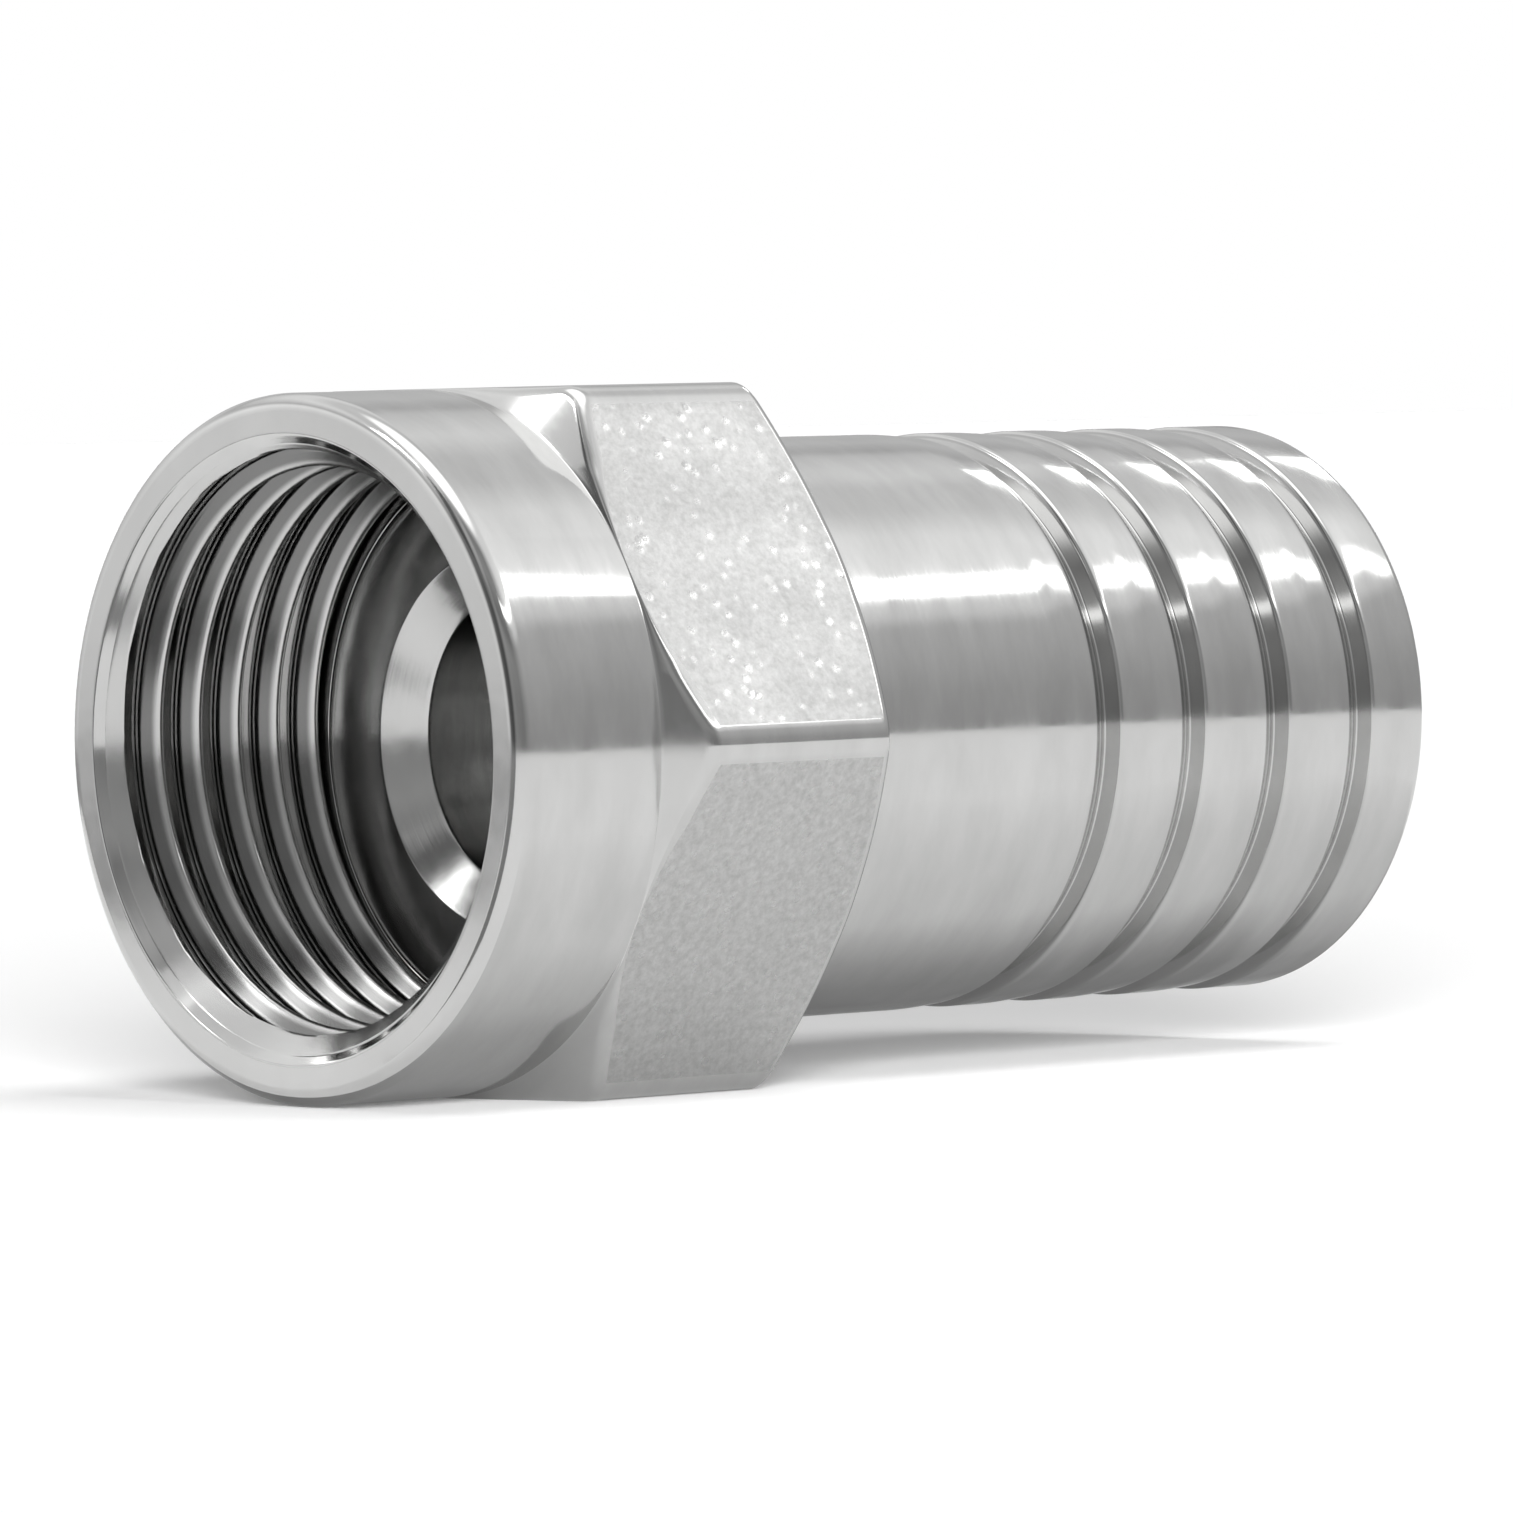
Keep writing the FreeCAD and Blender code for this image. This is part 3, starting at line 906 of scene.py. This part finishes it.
def dome_greys():
    """Emission by the rise above the connector and the turn round it."""
    material, tree, surface = new_material("dome_greys")
    unit = tree.nodes.new("ShaderNodeVectorMath")
    unit.operation = "NORMALIZE"
    tree.links.new(place_on_object(tree), unit.inputs[0])
    x, y, z = parts_of(tree, unit.outputs["Vector"])
    rise = worked(tree, "DEGREES", worked(tree, "ARCSINE", z))
    turn = worked(tree, "DEGREES", worked(tree, "ARCTAN2", y, x))
    turn = worked(tree, "FLOORED_MODULO", worked(tree, "SUBTRACT", turn, FIRST_TURN), 360.0)
    turn = worked(tree, "ADD", turn, FIRST_TURN)

    def by_rise(stops):
        return stepped(tree, rise, LOWEST_RISE, 90.0, stops)

    def by_turn(stops):
        return stepped(tree, turn, FIRST_TURN, FIRST_TURN + 360.0, stops)

    level = shared(tree, by_rise(RISE_GREYS), by_turn(LOW_SHARES), by_rise(LOW_WEIGHT))
    level = shared(tree, level, by_turn(HALF_WAY_SHARES), by_rise(HALF_WAY_WEIGHT))
    for middle, half_width, height, half_height, glow in DOME_LAMPS:
        across = within(tree, turn, middle, half_width)
        lamp = worked(tree, "MULTIPLY", across, within(tree, rise, height, half_height))
        level = worked(tree, "ADD", level, worked(tree, "MULTIPLY", lamp, glow))
    tree.links.new(white_glow(tree, level), surface)
    return material


def skirt_reach(turn):
    """How near to the connector the dome comes along the floor, on that side."""
    for start, end, reach in NEARER_SKIRTS:
        if start < turn < end:
            return reach
    return DOME_SKIRT


def grey_dome():
    """The dome, down to the floor and in along it to a skirt round the connector."""
    low = FLOOR_HEIGHT + DOME_LIFT
    angles = [2 * math.pi * i / DOME_SIDES for i in range(DOME_SIDES)]
    rings = [[(skirt_reach(math.degrees(angle)), low) for angle in angles], [(DOME_RADIUS, low)] * DOME_SIDES]
    for degrees in range(DOME_STEP, 90, DOME_STEP):
        rise = math.radians(degrees)
        rings.append([(DOME_RADIUS * math.cos(rise), DOME_RADIUS * math.sin(rise))] * DOME_SIDES)
    points = []
    for ring in rings:
        for angle, (reach, height) in zip(angles, ring):
            points.append((reach * math.cos(angle) * MM, reach * math.sin(angle) * MM, height * MM))
    top = len(points)
    points.append((0.0, 0.0, DOME_RADIUS * MM))
    faces = []
    for start in range(0, top, DOME_SIDES):
        for i in range(DOME_SIDES):
            here = start + i
            beside = start + (i + 1) % DOME_SIDES
            if start + DOME_SIDES < top:
                faces.append((here, beside, beside + DOME_SIDES, here + DOME_SIDES))
            else:
                faces.append((here, beside, top))
    only_mirrored(staged("dome", points, faces, dome_greys()))


# The shade below and before the connector, as the metal's lower half mirrors it: how much of the floor it
# hides by the distance from its middle line, where that line lies, its level and its height above the
# floor, and how far it reaches past the mouth and the sleeve's end.
SHADE_STOPS = (
    (0.0, 0.86),
    (1.5, 0.76),
    (3.0, 0.52),
    (4.2, 0.36),
    (6.2, 0.26),
    (10.0, 0.1),
    (13.0, 0.0),
)
SHADE_MIDDLE = 0.5
SHADE_LEVEL = 0.16
SHADE_LIFT = 0.005
SHADE_FRONT = 0.1
SHADE_REAR = 9.0


def contact_shade():
    """A dark sheet just above the floor, which only reflections see."""
    material, tree, surface = new_material("contact_shade")
    side = parts_of(tree, place_on_object(tree))["Y"]
    across = worked(tree, "SUBTRACT", worked(tree, "DIVIDE", side, MM), SHADE_MIDDLE)
    reach = SHADE_STOPS[-1][0]
    hidden = stepped(tree, worked(tree, "ABSOLUTE", across), 0.0, reach, SHADE_STOPS)
    clear = tree.nodes.new("ShaderNodeBsdfTransparent")
    both = tree.nodes.new("ShaderNodeMixShader")
    tree.links.new(hidden, both.inputs[0])
    tree.links.new(clear.outputs["BSDF"], both.inputs[1])
    tree.links.new(white_glow(tree, SHADE_LEVEL), both.inputs[2])
    tree.links.new(both.outputs["Shader"], surface)
    start = (MOUTH - SHADE_FRONT) * MM
    end = (SLEEVE_END + SHADE_REAR) * MM
    near = (SHADE_MIDDLE - reach) * MM
    far = (SHADE_MIDDLE + reach) * MM
    low = (FLOOR_HEIGHT + SHADE_LIFT) * MM
    corners = [(start, near, low), (end, near, low), (end, far, low), (start, far, low)]
    only_mirrored(staged("contact_shade", corners, [(0, 1, 2, 3)], material))


def even_light(name, towards, strength, width):
    """Even light from one side, which lights the floor, casts a soft shadow and isn't mirrored."""
    lamp = bpy.data.lights.new(name, "SUN")
    lamp.energy = strength
    lamp.angle = math.radians(width)
    holder = placed(name, lamp)
    holder.rotation_mode = "QUATERNION"
    holder.rotation_quaternion = Vector(towards).normalized().to_track_quat("Z", "Y")
    holder.visible_glossy = False


studio_world()
paper_floor()
grey_dome()
contact_shade()
even_light("key", towards=(0.1, -0.35, 0.92), strength=1.3, width=30)
even_light("fill", towards=(-0.62, -0.77, 0.19), strength=8.4, width=25)


def photograph_camera():
    """The camera at the photograph's place, turn and lens."""
    level = math.cos(CAMERA_RISE)
    away = Vector((-math.cos(CAMERA_TURN) * level, -math.sin(CAMERA_TURN) * level, math.sin(CAMERA_RISE)))
    right = (-away).cross(Vector((0, 0, 1))).normalized()
    up = right.cross(-away)
    cosine = math.cos(CAMERA_ROLL)
    sine = math.sin(CAMERA_ROLL)
    right, up = right * cosine + up * sine, up * cosine - right * sine
    aim = Vector(CAMERA_AIM) + right * AIM_SHIFT[0] + up * AIM_SHIFT[1]
    place = (aim + away * CAMERA_DISTANCE) * MM
    data = bpy.data.cameras.new("photograph")
    data.sensor_width = SENSOR
    data.lens = PIXELS_PER_MM * CAMERA_DISTANCE / PICTURE * SENSOR
    data.clip_start = CLIP_START * MM
    data.clip_end = CLIP_END * MM
    camera = placed("photograph", data)
    turn = Matrix((right, up, away)).transposed().to_4x4()
    camera.matrix_world = Matrix.Translation(place) @ turn
    bpy.context.scene.camera = camera


photograph_camera()
bpy.context.scene.view_settings.view_transform = "Standard"

# What rides where.
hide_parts("coupling_nut")
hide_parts("post")
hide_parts("crimp_sleeve")
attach(nut, "nut")
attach(thread, "nut")
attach(post, "plug")
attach(sleeve, "plug")
